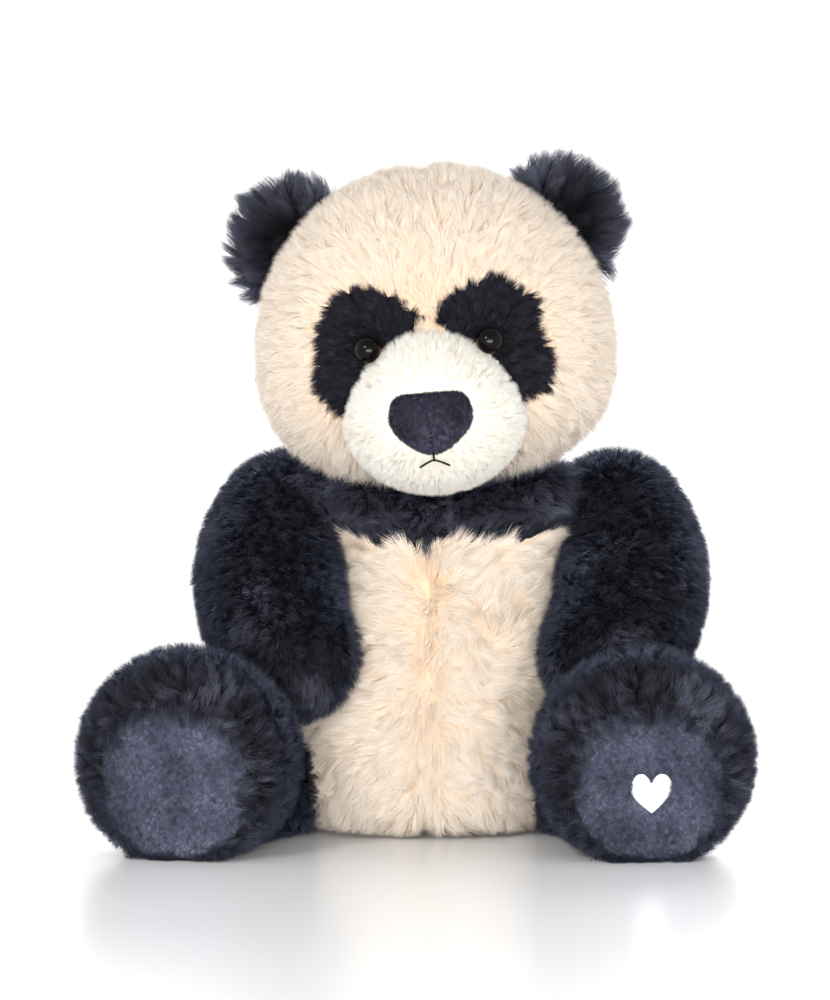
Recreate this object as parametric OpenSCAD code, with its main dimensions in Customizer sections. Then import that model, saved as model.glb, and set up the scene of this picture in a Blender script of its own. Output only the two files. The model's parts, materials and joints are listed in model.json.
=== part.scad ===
// Seated plush panda, soft-filled, with sewn neck, shoulder and hip seams.
// Millimetres. +Z is up, the toy faces -Y, and +X is the toy's own left side.
// The origin is the middle of the flat seat that it sits on.

/* [Fabric] */
// Thickness of the long-pile plush, backing and pile together
long_pile = 7; // [5:0.5:9]
// Thickness of the short-pile plush on the muzzle
short_pile = 4; // [3:0.5:5]
// Thickness of the velour on the soles and nose
velour = 2; // [1.5:0.25:3]

/* [Head] */
// Half width of the head at the cheeks
head_w = 75; // [72:1:76]
// Half depth of the head, front to back
head_d = 62; // [59:1:63]
// Height of the crown above the widest level
head_up = 80; // [76:1:82]
// Depth of the jaw below the widest level
head_down = 51; // [49:1:52]
// Sideways lean of the head, in degrees
head_roll = 4.5; // [0:0.5:5]
// Turn of the face to the toy's right, in degrees
head_yaw = 2.5; // [0:0.5:4]
// Diameter of each eye
eye_dia = 10; // [9:0.5:11]
// Distance from the face's middle to each eye
eye_x = 25.5; // [24.5:0.5:26.5]

/* [Torso] */
// Half width of the seat
seat_w = 68; // [65:1:70]
// Half width of the chest, between the arms
chest_w = 46; // [44:0.5:47]
// Height of the chest's top edge
chest_top = 166; // [164:1:168]

/* [Arms] */
// Radius of the arm at the elbow
arm_r = 31; // [29:0.5:32]

/* [Legs] */
// Radius of the leg's tube
leg_r = 25; // [23:0.5:26]
// Radius of the foot
foot_r = 41; // [39:0.5:42]
// Length from the hip seam to the sole
leg_len = 92; // [88:1:94]
// Outward turn of the right foot, in degrees
splay_right = 13; // [8:1:18]
// Outward turn of the left foot, in degrees
splay_left = 5; // [2:1:12]
// How far the foot sits outward of the hip
toe_out = 15; // [12:1:18]

/* [Hidden] */

cream = [0.93, 0.80, 0.66];
ivory = [0.95, 0.92, 0.82];
black_fur = [0.07, 0.07, 0.10];
navy_velour = [0.20, 0.21, 0.29];
fibre = [0.90, 0.90, 0.88];

far = 400;                            // larger than any part of the toy
gap = 0.6;                            // clear space round a piece that moves
snug = 0.05;                          // clear space between a skin and its filling
lean = 10;                            // how far the chest sits to the left of the seat
neck = [lean, 0, 124];                // middle of the ball that the head rocks on
neck_r = 42;                          // radius of that ball
neck_cut = 149;                       // height where the neck turns on the torso
collar = 4;                           // thickness of the neck's sleeve
head_at = [0, -7, 76];                // head's middle, from the neck
head_bow = [2.1, 2.8];                // how square the head's egg is, above and below
side_seam_y = 8;                      // seam between the face and the back of the head
muzzle_at = [0, -43, -21];            // muzzle's middle, from the head's
muzzle_size = [37, 44, 33.5];         // its half width, depth and height
muzzle_bow = [2.0, 2.2];              // how square it is, above and below
nose_z = -25.5;                       // the nose's middle, from the head's
chin_z = nose_z - 8;                  // the seam across the muzzle
ear_at = [54, 10, 48];                // an ear's middle, from the head's
ear_size = [26, 10, 27];              // its half width, depth and height
ear_tilt = 38;                        // its outward lean
ear_turn = 8;                         // its turn towards the back
eye_z = 5;                            // an eye's height, from the head's middle
eye_turn = 14;                        // how far an eye looks outwards
shank_r = 1.6;                        // radius of an eye's shank
shank_len = 17;                       // its length behind the eye
washer_at = -12.5;                    // where its washer sits, behind the eye
washer_r = 6.5;                       // radius of that washer
stitch_r = 0.5;                       // radius of the mouth's thread
shoulder = [71, 4, 128.5];            // middle of an arm's ball, from the chest's middle
shoulder_r = arm_r - 2;                // radius of that ball
hip_x = 67;                           // middle of a hip's ball
hip_y = -36;                          // the same, front to back
hip_z = leg_r - 1;                    // the same, above the seat
pad_size = [29, 29];                  // half width and height of a sole
pad_z = 31;                           // height of a sole's middle
heart_lobe = 5;                       // radius of each lobe of the heart
yoke_z = 128;                         // side ends of the seam under the black chest
yoke_dip = 7;                         // how far that seam's middle hangs below its ends
back_yoke_z = 88;                     // the same seam on the back, which is level
seat_h = long_pile + 0.01;            // top of the panel that the toy sits on
bag_at = [0, 2, 30];                  // middle of the pellet bag
bag_size = [24, 22, 17];              // its half width, depth and height
bag_cloth = 1;                        // thickness of its cloth
pellet_r = 2.4;                       // radius of one pellet

// ---- Shapes ----

function smooth(a, b, c, d, t) =      // Catmull-Rom from b to c
    0.5 * (2 * b + (c - a) * t + (2 * a - 5 * b + 4 * c - d) * t * t
           + (3 * b - a - 3 * c + d) * t * t * t);

// A table of stations, filled in with steps points between each pair.
function refine(rows, steps) =
    let (n = len(rows), at = function(i) rows[max(0, min(n - 1, i))])
    [for (i = [0:n - 2], k = [0:steps - 1])
        smooth(at(i - 1), at(i), at(i + 1), at(i + 2), k / steps), rows[n - 1]];

// A closed solid over rings of equally many points, with flat ends.
module loft(rings) {
    n = len(rings[0]);
    m = len(rings);
    polyhedron(
        points = [for (r = rings) each r],
        faces = concat(
            [[for (i = [0:n - 1]) i]],
            [for (j = [0:m - 2], i = [0:n - 1])
                let (a = j * n + i, b = j * n + (i + 1) % n) [a, b + n, b]],
            [for (j = [0:m - 2], i = [0:n - 1])
                let (a = j * n + i, b = j * n + (i + 1) % n) [a, a + n, b + n]],
            [[for (i = [n - 1:-1:0]) (m - 1) * n + i]]));
}

function oval(c, a, b, n) =
    [for (i = [0:n - 1]) [c.x + a * cos(360 * i / n), c.y + b * sin(360 * i / n), c.z]];

// An egg shape: its level ovals narrow by sqrt(1 - t^k) above and below the widest one.
module egg(a, b, up, down, k_up, k_down, n, m) {
    loft([for (j = [0:m])
        let (t = sin(-86 + 172 * j / m), k = t < 0 ? k_down : k_up,
             w = sqrt(1 - pow(abs(t), k)))
        oval([0, 0, t * (t < 0 ? down : up)], a * w, b * w, n)]);
}

module mirror_x(side) {
    mirror([side < 0 ? 1 : 0, 0, 0]) children();
}

module half_space(dir) {
    translate(dir * far / 2) cube(far, center = true);
}

module above(z) { translate([0, 0, z]) half_space([0, 0, 1]); }

module below(z) { translate([0, 0, z]) half_space([0, 0, -1]); }

// ---- Head, in its own frame: middle of the widest level, face along -Y ----

module place_head() {
    translate(neck) rotate([0, -head_roll, -head_yaw]) translate(head_at) children();
}

module head_outer() {
    egg(head_w, head_d, head_up, head_down, head_bow[0], head_bow[1], 30, 14);
}

module head_inner(t = long_pile) {
    egg(head_w - t, head_d - t, head_up - t, head_down - t, head_bow[0], head_bow[1], 24, 11);
}

// The hollow under the head that the neck's ball fills.
module neck_socket() {
    translate(-head_at) sphere(neck_r + gap, $fn = 40);
}

module muzzle_solid(t = 0, n = 26, m = 12) {
    translate(muzzle_at)
        egg(muzzle_size.x - t, muzzle_size.y - t, muzzle_size.z - t, muzzle_size.z - t,
            muzzle_bow[0], muzzle_bow[1], n, m);
}

// Front view outline of a dark patch, on the toy's left.
module patch_outline() {
    hull() {
        translate([17, 16]) circle(9, $fn = 28);
        translate([27, 14]) circle(14, $fn = 32);
        translate([36, -6]) circle(9, $fn = 28);
        translate([32, -14]) circle(6, $fn = 24);
    }
}

module patch_prism(side) {
    mirror_x(side) rotate([90, 0, 0]) linear_extrude(far) patch_outline();
}

module eye_place(side) {
    y = -head_d * sqrt(1 - pow(eye_x / head_w, 2));
    mirror_x(side) translate([eye_x, y + 1.2, eye_z]) rotate([0, 0, eye_turn])
        rotate([90, 0, 0]) children();
}

module eye(side) {
    color([0.04, 0.03, 0.03]) place_head() eye_place(side) {
        intersection() {
            translate([0, 0, -1]) sphere(d = eye_dia, $fn = 48);
            translate([0, 0, eye_dia / 2]) cube(eye_dia + 2, center = true);
        }
        translate([0, 0, -shank_len]) cylinder(r = shank_r, h = shank_len, $fn = 32);
    }
}

module eye_washer(side) {
    color("white") place_head() eye_place(side) translate([0, 0, washer_at]) difference() {
        cylinder(r = washer_r, h = 1.6, $fn = 40);
        translate([0, 0, -1]) cylinder(r = shank_r + 0.05, h = 4, $fn = 32);
    }
}

// Room for an eye, its shank and its washer.
module eye_room(side) {
    eye_place(side) {
        translate([0, 0, -1]) sphere(d = eye_dia + 0.2, $fn = 32);
        translate([0, 0, -shank_len - 1]) cylinder(r = shank_r + 0.3, h = shank_len + 2, $fn = 24);
        translate([0, 0, washer_at - 0.5]) cylinder(r = washer_r + 0.5, h = 2.6, $fn = 32);
    }
}

module head_skin() {
    difference() {
        head_outer();
        head_inner();
        neck_socket();
    }
}

module head_stuffing() {
    color(fibre) place_head() difference() {
        head_inner(long_pile + snug);
        neck_socket();
        eye_room(1);
        eye_room(-1);
    }
}

module head_side(side) {
    color(cream) place_head() difference() {
        intersection() {
            head_skin();
            half_space([side, 0, 0]);
            translate([0, side_seam_y, 0]) half_space([0, -1, 0]);
        }
        patch_prism(side);
        muzzle_solid();
        eye_room(side);
    }
}

module head_back(side) {
    color(cream) place_head() intersection() {
        head_skin();
        half_space([side, 0, 0]);
        translate([0, side_seam_y, 0]) half_space([0, 1, 0]);
    }
}

module eye_patch(side) {
    color(black_fur) place_head() difference() {
        intersection() {
            head_skin();
            patch_prism(side);
            half_space([0, -1, 0]);
        }
        muzzle_solid();
        eye_room(side);
    }
}

module muzzle_skin() {
    difference() {
        muzzle_solid();
        muzzle_solid(short_pile, 20, 10);
        head_inner();
        neck_socket();
        eye_room(1);
        eye_room(-1);
    }
}

module muzzle_upper() {
    color(ivory) place_head() intersection() {
        muzzle_skin();
        above(chin_z);
    }
}

module muzzle_chin() {
    color(ivory) place_head() intersection() {
        muzzle_skin();
        below(chin_z);
    }
}

module muzzle_stuffing() {
    color(fibre) place_head() difference() {
        muzzle_solid(short_pile + snug, 20, 10);
        head_inner();
        neck_socket();
        eye_room(1);
        eye_room(-1);
    }
}

// Front view outline of the nose: a wide triangle with round corners, point down.
module nose_outline() {
    hull() {
        translate([-11, 5]) circle(5.5, $fn = 32);
        translate([11, 5]) circle(5.5, $fn = 32);
        translate([0, -7.5]) circle(4, $fn = 32);
    }
}

module nose() {
    color(navy_velour) place_head() difference() {
        intersection() {
            muzzle_solid(-velour, 26, 12);
            translate([0, muzzle_at.y, nose_z]) rotate([90, 0, 0]) linear_extrude(far) nose_outline();
        }
        muzzle_solid(-0.1);
    }
}

// How far forward the muzzle's lower half is at x and z, with a lift off it.
function muzzle_y(x, z, lift) =
    let (s = muzzle_size + [1, 1, 1] * lift, drop = (muzzle_at.z - z) / s.z)
    muzzle_at.y - s.y * sqrt(max(0, 1 - pow(drop, muzzle_bow[1]) - pow(x / s.x, 2)));

// A round thread through points given as x and z on the muzzle.
module thread(points, r, lift) {
    loft([for (p = points)
        let (y = muzzle_y(p.x, p.y, lift))
        [for (i = [0:5])
            abs(points[0].x - points[len(points) - 1].x) < 1
            ? [p.x + r * cos(60 * i), y + r * sin(60 * i), p.y]
            : [p.x, y - r * sin(60 * i), p.y + r * cos(60 * i)]]]);
}

// The short stitch under the nose and the two sides of the mouth.
module face_stitches() {
    low = nose_z - 12.5;
    lift = stitch_r + 0.4;
    color("black") place_head() {
        thread([for (i = [0:3]) [0, low - 3.8 + i * 1.1]], stitch_r, lift);
        for (s = [-1, 1]) mirror_x(s)
            thread([for (i = [0:5]) [1.1 + i * 1.4, low - 4.4 - 0.12 * i * i]], stitch_r, lift);
    }
}

module place_ear(side) {
    mirror_x(side) translate(ear_at) rotate([0, ear_tilt, 0]) rotate([0, 0, ear_turn]) children();
}

module ear_solid(side) {
    difference() {
        place_ear(side) egg(ear_size.x, ear_size.y, ear_size.z, ear_size.z, 2, 2, 22, 10);
        head_outer();
    }
}

module ear(side, front) {
    color(black_fur) place_head() intersection() {
        ear_solid(side);
        place_ear(side) half_space([0, front, 0]);
    }
}

// ---- Torso: stations of height, middle x, middle y, half width, half depth ----

torso_rows = [
    [0, 0, -4, seat_w - 15, 51],
    [3, 0, -4, seat_w - 7, 58],
    [12, 0, -4, seat_w - 1, 63],
    [28, 0, -4, seat_w, 64],
    [50, 2, -4, seat_w - 3, 64],
    [72, 4, -4, seat_w - 10, 61],
    [94, 7, -3, chest_w + 6, 57],
    [116, lean, -2, chest_w, 50],
    [134, lean, -1, chest_w - 3, 42.5],
    [149, lean, 0, 34, 34],
    [158, lean, 0, 25, 25],
    [chest_top, lean, 0, 13, 13]];

module torso_solid(grow = 0, n = 30, steps = 2) {
    middle = chest_top / 2;
    squeeze = (middle + grow) / middle;
    loft([for (r = refine(torso_rows, steps))
        oval([r[1], r[2], middle + (r[0] - middle) * squeeze], r[3] + grow, r[4] + grow, n)]);
}

// Everything that the legs pass through as they swing down.
module leg_room() {
    for (s = [-1, 1]) place_leg(s) hull() {
        sphere(leg_r + gap, $fn = 28);
        for (a = [0, 30, 60]) rotate([a, 0, 0]) translate([8, -70, 0]) sphere(leg_r + 8, $fn = 20);
    }
}

module torso_body() {
    difference() {
        intersection() {
            torso_solid();
            translate([0, 0, neck_cut]) half_space([0, 0, -1]);
        }
        leg_room();
        arm_sockets(gap);
    }
}

module arm_sockets(t) {
    for (s = [-1, 1]) place_arm(s) translate(shoulder) sphere(shoulder_r + t, $fn = 40);
}

module torso_core(t) {
    difference() {
        intersection() {
            torso_solid(-t, 24, 1);
            translate([0, 0, neck_cut]) half_space([0, 0, -1]);
        }
        leg_room();
        arm_sockets(gap);
    }
}

module torso_skin() {
    difference() {
        torso_body();
        torso_core(long_pile);
    }
}

module torso_front() {
    intersection() {
        torso_skin();
        above(seat_h);
        half_space([0, -1, 0]);
    }
}

module torso_back() {
    intersection() {
        torso_skin();
        above(seat_h);
        half_space([0, 1, 0]);
    }
}

// All that is above the seam under the chest, which dips in the middle.
module yoke_prism() {
    rotate([90, 0, 0]) linear_extrude(far)
        polygon([[0, yoke_z - yoke_dip], [seat_w, yoke_z], [far, yoke_z], [far, far],
                 [-far, far], [-far, yoke_z], [-seat_w, yoke_z]]);
}

module chest_yoke() {
    color(black_fur) intersection() {
        torso_front();
        yoke_prism();
    }
}

module belly(side) {
    color(cream) difference() {
        intersection() {
            torso_front();
            translate([side * 0.01, 0, 0]) half_space([side, 0, 0]);
        }
        yoke_prism();
    }
}

module back_yoke() {
    color(black_fur) intersection() {
        torso_back();
        above(back_yoke_z);
    }
}

module back(side) {
    color(cream) intersection() {
        torso_back();
        below(back_yoke_z);
        translate([side * 0.01, 0, 0]) half_space([side, 0, 0]);
    }
}

module seat_panel() {
    color(cream) intersection() {
        torso_skin();
        below(seat_h);
    }
}

module pellet_bag_solid(t = 0) {
    translate(bag_at)
        egg(bag_size.x - t, bag_size.y - t, bag_size.z - t, bag_size.z - t, 2.2, 2.2, 24, 10);
}

module pellet_bag() {
    color("white") difference() {
        pellet_bag_solid();
        pellet_bag_solid(bag_cloth);
    }
}

// Plastic beads in layers inside the bag.
module pellets() {
    room = bag_size - [1, 1, 1] * (bag_cloth + pellet_r + 0.6);
    color("ivory") for (k = [-2:2], i = [-2:2], j = [-2:2])
        let (p = [i * 7 + (k % 2) * 2, j * 7, k * 5.6])
        if (pow(p.x / room.x, 2) + pow(p.y / room.y, 2) + pow(p.z / room.z, 2) < 1)
            translate(bag_at + p) sphere(r = pellet_r, $fn = 16);
}

module torso_stuffing() {
    color(fibre) difference() {
        torso_core(long_pile + snug);
        pellet_bag_solid(-snug);
    }
}

// ---- Neck: a ball top that turns on the torso and that the head rocks on ----

module neck_solid(t) {
    intersection() {
        torso_solid(-t, 24, 1);
        above(neck_cut + gap);
        translate(neck) sphere(neck_r, $fn = 40);
    }
}

module neck_collar() {
    color(black_fur) difference() {
        neck_solid(0);
        neck_solid(collar);
    }
}

module neck_stuffing() {
    color(fibre) neck_solid(collar + snug);
}

// ---- Arms: stations along the arm, from the shoulder to the paw ----

arm_rows = [
    [shoulder.x, shoulder.y, shoulder.z, shoulder_r],
    [76, -9, 112, arm_r],
    [74, -30, 93, arm_r],
    [67, -47, 79, arm_r - 2]];

function unit(v) = v / norm(v);

// Rings round the arm's middle line, with a round cap at each end.
function arm_rings(t, n) =
    let (
        path = refine(arm_rows, 3),
        m = len(path),
        point = function(i) [path[i][0], path[i][1], path[i][2]],
        way = function(i) unit(point(min(m - 1, i + 1)) - point(max(0, i - 1))),
        hoop = function(c, w, r)
            let (x = unit([1, 0, 0] - w * w.x), y = cross(w, x))
            [for (i = [0:n - 1]) c + r * (cos(360 * i / n) * x + sin(360 * i / n) * y)])
    concat(
        [for (a = [84, 60, 36, 14])
            hoop(point(0) - way(0) * (path[0][3] - t) * sin(a), way(0), (path[0][3] - t) * cos(a))],
        [for (i = [0:m - 1]) hoop(point(i), way(i), path[i][3] - t)],
        [for (a = [14, 36, 60, 84])
            hoop(point(m - 1) + way(m - 1) * (path[m - 1][3] - t) * sin(a), way(m - 1),
                 (path[m - 1][3] - t) * cos(a))]);

module place_arm(side) {
    translate([lean, 0, 0]) mirror_x(side) children();
}

// Room for the head, which turns and nods just above the shoulders.
module head_room() {
    translate([lean - 4, -7, neck.z + head_at.z])
        egg(head_w + 2, head_d + 8, head_up, head_down + 3, head_bow[0], head_bow[1], 32, 12);
}

module arm_body(side, t = 0, n = 20) {
    difference() {
        place_arm(side) loft(arm_rings(t, n));
        difference() {
            torso_solid(gap + 0.4 + t, 30, 2);
            place_arm(side) translate(shoulder) sphere(shoulder_r + 0.1 - t, $fn = 32);
        }
        head_room();
    }
}

module arm_panel(side, outer) {
    color(black_fur) difference() {
        intersection() {
            arm_body(side);
            place_arm(side) translate([shoulder.x, 0, 0]) half_space([outer, 0, 0]);
        }
        arm_body(side, long_pile, 16);
    }
}

module arm_stuffing(side) {
    color(fibre) arm_body(side, long_pile + snug, 16);
}

// ---- Legs, in their own frame: hip at the origin, foot along -Y ----

// Stations of distance from the hip, radius, and how far outward the middle has moved.
leg_rows = [
    [10, leg_r, toe_out * 0.15],
    [24, leg_r + 0.5, toe_out * 0.45],
    [38, leg_r + 3, toe_out * 0.75],
    [52, foot_r - 5, toe_out * 0.95],
    [64, foot_r - 0.5, toe_out],
    [75, foot_r, toe_out],
    [leg_len - 4, foot_r - 2.5, toe_out],
    [leg_len, foot_r - 6, toe_out]];

module place_leg(side) {
    turn = side > 0 ? splay_left : splay_right;
    mirror_x(side) translate([hip_x, hip_y, hip_z]) rotate([0, 0, turn]) children();
}

function leg_hoop(d, r, x, z, n) =
    [for (i = [0:n - 1]) [x + r * cos(360 * i / n), -d, z + r * sin(360 * i / n)]];

module leg_solid(t, n, steps) {
    intersection() {
        loft(concat(
            [for (a = [84, 62, 40, 20, 0])
                leg_hoop(-(leg_r - t) * sin(a), (leg_r - t) * cos(a), 0, 0, n)],
            [for (r = refine(leg_rows, steps))
                leg_hoop(r[0] * (leg_len - t) / leg_len, r[1] - t, r[2], r[1] - leg_r, n)]));
        above(t - hip_z);
    }
}

// The space on one side of the leg's seam, which follows the leg's middle.
module leg_half(outer) {
    edge = [[0, far], [0, 0], [toe_out, -52], [toe_out, -far]];
    translate([0, 0, -far / 2]) linear_extrude(far)
        polygon(concat(edge, [[outer * far, -far], [outer * far, far]]));
}

module leg_panel(side, outer) {
    color(black_fur) place_leg(side) difference() {
        intersection() {
            leg_solid(0, 24, 2);
            leg_half(outer);
        }
        leg_solid(long_pile, 18, 1);
        pad_room();
    }
}

// The opening at the end of the foot that the sole closes.
module pad_room() {
    place_pad() linear_extrude(velour + 1) pad_outline(0);
}

module place_pad() {
    translate([toe_out, -leg_len + velour, pad_z - hip_z]) rotate([90, 0, 0]) children();
}

module pad_outline(inset) {
    resize(2 * (pad_size - [inset, inset])) circle(pad_size.x, $fn = 40);
}

module sole(side) {
    color(navy_velour) place_leg(side) place_pad() linear_extrude(velour) pad_outline(snug);
}

module leg_stuffing(side) {
    color(fibre) place_leg(side) difference() {
        leg_solid(long_pile + snug, 18, 1);
        translate([0, -leg_len + velour + 0.02, 0]) half_space([0, -1, 0]);
    }
}

// A small heart, sewn on the left sole.
module sole_emblem() {
    color("gainsboro") place_leg(1) place_pad() translate([0, -3, velour + 0.02])
        rotate([0, 0, 45]) linear_extrude(0.7) {
            square(2 * heart_lobe, center = true);
            translate([heart_lobe, 0]) circle(heart_lobe, $fn = 40);
            translate([0, heart_lobe]) circle(heart_lobe, $fn = 40);
        }
}

head_stuffing();
head_side(1);  // head_side_left
head_side(-1);  // head_side_right
head_back(1);  // head_back_left
head_back(-1);  // head_back_right
eye_patch(1);  // eye_patch_left
eye_patch(-1);  // eye_patch_right
eye(1);  // eye_left
eye(-1);  // eye_right
eye_washer(1);  // eye_washer_left
eye_washer(-1);  // eye_washer_right
muzzle_upper();
muzzle_chin();
muzzle_stuffing();
nose();
face_stitches();
ear(1, -1);  // ear_front_left
ear(-1, -1);  // ear_front_right
ear(1, 1);  // ear_back_left
ear(-1, 1);  // ear_back_right
neck_collar();
neck_stuffing();
torso_stuffing();
chest_yoke();
belly(1);  // belly_left
belly(-1);  // belly_right
back_yoke();
back(1);  // back_left
back(-1);  // back_right
seat_panel();
pellet_bag();
pellets();
arm_panel(1, 1);  // arm_outer_left
arm_panel(1, -1);  // arm_inner_left
arm_stuffing(1);  // arm_stuffing_left
arm_panel(-1, 1);  // arm_outer_right
arm_panel(-1, -1);  // arm_inner_right
arm_stuffing(-1);  // arm_stuffing_right
leg_panel(1, 1);  // leg_outer_left
leg_panel(1, -1);  // leg_inner_left
sole(1);  // sole_left
leg_stuffing(1);  // leg_stuffing_left
leg_panel(-1, 1);  // leg_outer_right
leg_panel(-1, -1);  // leg_inner_right
sole(-1);  // sole_right
leg_stuffing(-1);  // leg_stuffing_right
sole_emblem();
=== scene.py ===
import json
import math
from dataclasses import dataclass

import bmesh
import bpy
import numpy as np
from mathutils import Matrix, Vector
from mathutils.bvhtree import BVHTree
from mathutils.kdtree import KDTree


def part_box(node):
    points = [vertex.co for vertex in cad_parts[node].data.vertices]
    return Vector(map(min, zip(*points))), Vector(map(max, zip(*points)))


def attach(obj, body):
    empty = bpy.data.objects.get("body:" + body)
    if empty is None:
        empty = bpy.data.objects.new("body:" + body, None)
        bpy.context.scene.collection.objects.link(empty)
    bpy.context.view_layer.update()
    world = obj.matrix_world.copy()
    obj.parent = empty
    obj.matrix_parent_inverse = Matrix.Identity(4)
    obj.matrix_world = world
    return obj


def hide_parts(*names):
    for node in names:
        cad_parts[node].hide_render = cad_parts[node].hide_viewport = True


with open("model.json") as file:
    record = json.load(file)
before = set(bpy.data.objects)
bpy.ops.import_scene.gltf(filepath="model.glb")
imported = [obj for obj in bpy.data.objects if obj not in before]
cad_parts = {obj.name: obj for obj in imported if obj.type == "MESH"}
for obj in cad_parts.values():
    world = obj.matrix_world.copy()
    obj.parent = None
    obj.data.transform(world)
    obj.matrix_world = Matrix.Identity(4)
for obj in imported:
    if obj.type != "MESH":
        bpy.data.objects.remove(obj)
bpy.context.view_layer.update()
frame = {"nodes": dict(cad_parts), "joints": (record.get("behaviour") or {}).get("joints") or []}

MM = 0.001
SCENE = bpy.context.scene
NODES = frame["nodes"]
JOINTS = {joint["name"]: joint for joint in frame["joints"]}
SIGN = {"left": 1, "right": -1}
DETAIL = 1.0     # share of the full number of fibres
PILE_CLEAR = 0.4 * MM                   # least height of a fibre above the floor
BASE_CLEAR = 1.2 * MM                   # least height of a base above the floor
CLOTH_FRAMES = 12                       # frames over which a base is blown up
VOTERS = 13                             # faces that settle which panel a face belongs to
LEAN_SPREAD = 0.12                      # how much tufts and fibres differ in lean, in radians
SHORTEST = 0.05                         # share of the full length below which there is no fibre


# ---- Arithmetic ----

def mm(x, y, z):
    return np.array([x, y, z]) * MM


def clamp(values):
    return np.clip(values, 0, 1)


def bell(values):
    return np.exp(-values ** 2)


def lengths(vectors):
    return np.linalg.norm(vectors, axis=1)


def unit(vectors):
    return vectors / np.maximum(np.linalg.norm(vectors, axis=-1, keepdims=True), 1e-12)


def dot(a, b):
    return (a * b).sum(-1, keepdims=True)


def ripple(points, size, seed):
    """Smooth noise of about -1 to 1 whose bumps are about size across."""
    rng = np.random.default_rng(seed)
    total = 0
    waves = 6
    for _ in range(waves):
        direction = unit(rng.normal(size=3))
        wave = direction * math.tau / (size * rng.uniform(0.7, 1.5))
        total = total + np.sin(points @ wave + rng.uniform(0, math.tau))
    return total / math.sqrt(waves / 2) * 0.7


def turned(vectors, axis, angle):
    """Vectors turned about axis, which they are square to."""
    angle = np.asarray(angle)[:, None]
    return vectors * np.cos(angle) + np.cross(axis, vectors) * np.sin(angle)


# ---- Frames and sizes, taken from the CAD ----

def middle_of(node):
    low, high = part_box(node)
    return (low + high) / 2


def head_matrix():
    """The head's own frame: X through both eyes, Y level, and the head's middle at the origin."""
    from_neck = Vector((0, -7, 76)) * MM
    across = (middle_of("eye_left") - middle_of("eye_right")).normalized()
    back = Vector((0, 0, 1)).cross(across).normalized()
    turn = Matrix((across, back, across.cross(back))).transposed().to_4x4()
    return Matrix.Translation(JOINTS["head_nod"]["pos_m"]) @ turn @ Matrix.Translation(from_neck)


def leg_matrix(side):
    """The leg's own frame: hip at the origin, foot along -Y."""
    joint = JOINTS[f"leg_{side}_swing"]
    turn = math.atan2(joint["axis"][1], joint["axis"][0])
    return Matrix.Translation(joint["pos_m"]) @ Matrix.Rotation(turn, 4, "Z")


def local_points(node, matrix):
    return in_frame_of(matrix, positions(NODES[node].data))


def local_box(nodes, matrix):
    points = np.concatenate([local_points(node, matrix) for node in nodes])
    return points.min(0), points.max(0)


def in_frame_of(matrix, points):
    inverse = np.array(matrix.inverted())
    return points @ inverse[:3, :3].T + inverse[:3, 3]


def out_of(matrix, points):
    forward = np.array(matrix)
    return points @ forward[:3, :3].T + forward[:3, 3]


def turned_by(matrix, vectors):
    return vectors @ np.array(matrix)[:3, :3].T


def positions(mesh):
    flat = np.empty(len(mesh.vertices) * 3)
    mesh.vertices.foreach_get("co", flat)
    return flat.reshape(-1, 3)


UPRIGHT = Matrix.Identity(4)            # the frame of the CAD itself
HEAD = head_matrix()
LEG = {side: leg_matrix(side) for side in ("left", "right")}
EYE_POINTS = local_points("eye_left", HEAD)
EYE_TIP = EYE_POINTS[EYE_POINTS[:, 1].argmin()] + mm(0, 0, 1.6)
EYE_R = 5.6 * MM
EYE_TURN = math.radians(14)             # how far an eye looks outwards
MUZZLE_LOW, MUZZLE_HIGH = local_box(["muzzle_upper", "muzzle_chin"], HEAD)
MUZZLE_DEPTH = 44 * MM                  # from the muzzle's front back to its widest
MUZZLE_MIDDLE = np.array([0, MUZZLE_LOW[1] + MUZZLE_DEPTH, (MUZZLE_LOW[2] + MUZZLE_HIGH[2]) / 2])
MUZZLE_HALF = np.array([MUZZLE_HIGH[0], MUZZLE_DEPTH, (MUZZLE_HIGH[2] - MUZZLE_LOW[2]) / 2])
NOSE_LOW, NOSE_HIGH = local_box(["nose"], HEAD)
NOSE_MIDDLE = (NOSE_LOW + NOSE_HIGH) / 2 + mm(-0.4, 0, 2.2)
NOSE_DROP = 13.0 * MM                   # from the nose's middle to its lowest point


# ---- Camera and light ----

def look_at(obj, target):
    obj.rotation_euler = (target - obj.location).to_track_quat("-Z", "Y").to_euler()


def add_camera():
    distance = 2.4
    elevation = math.radians(4.2)
    height_seen = 0.4245                # metres from the picture's top to its bottom
    target = Vector((-0.0049, 0, 0.1376))
    data = bpy.data.cameras.new("camera")
    data.sensor_width = 36
    data.lens = data.sensor_width * distance / height_seen
    data.clip_end = 50
    camera = bpy.data.objects.new("camera", data)
    SCENE.collection.objects.link(camera)
    camera.location = target + distance * Vector((0, -math.cos(elevation), math.sin(elevation)))
    look_at(camera, target)
    SCENE.camera = camera


LIGHTS = {                              # place, width, height and power of each
    "key": (Vector((-1.0, -1.9, 1.2)), 0.5, 0.5, 17),
    "front": (Vector((0.3, -2.8, 0.32)), 2.0, 0.6, 40),
    "low": (Vector((0.1, -1.5, 0.075)), 1.2, 0.12, 10),
    "back": (Vector((0.5, 2.0, 1.3)), 1.4, 1.4, 40),
}


def add_area(name, place, width, height, power):
    data = bpy.data.lights.new(name, "AREA")
    data.shape = "RECTANGLE"
    data.size = width
    data.size_y = height
    data.energy = power
    light = bpy.data.objects.new(name, data)
    SCENE.collection.objects.link(light)
    light.location = place
    look_at(light, Vector((0, 0, 0.14)))


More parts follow.
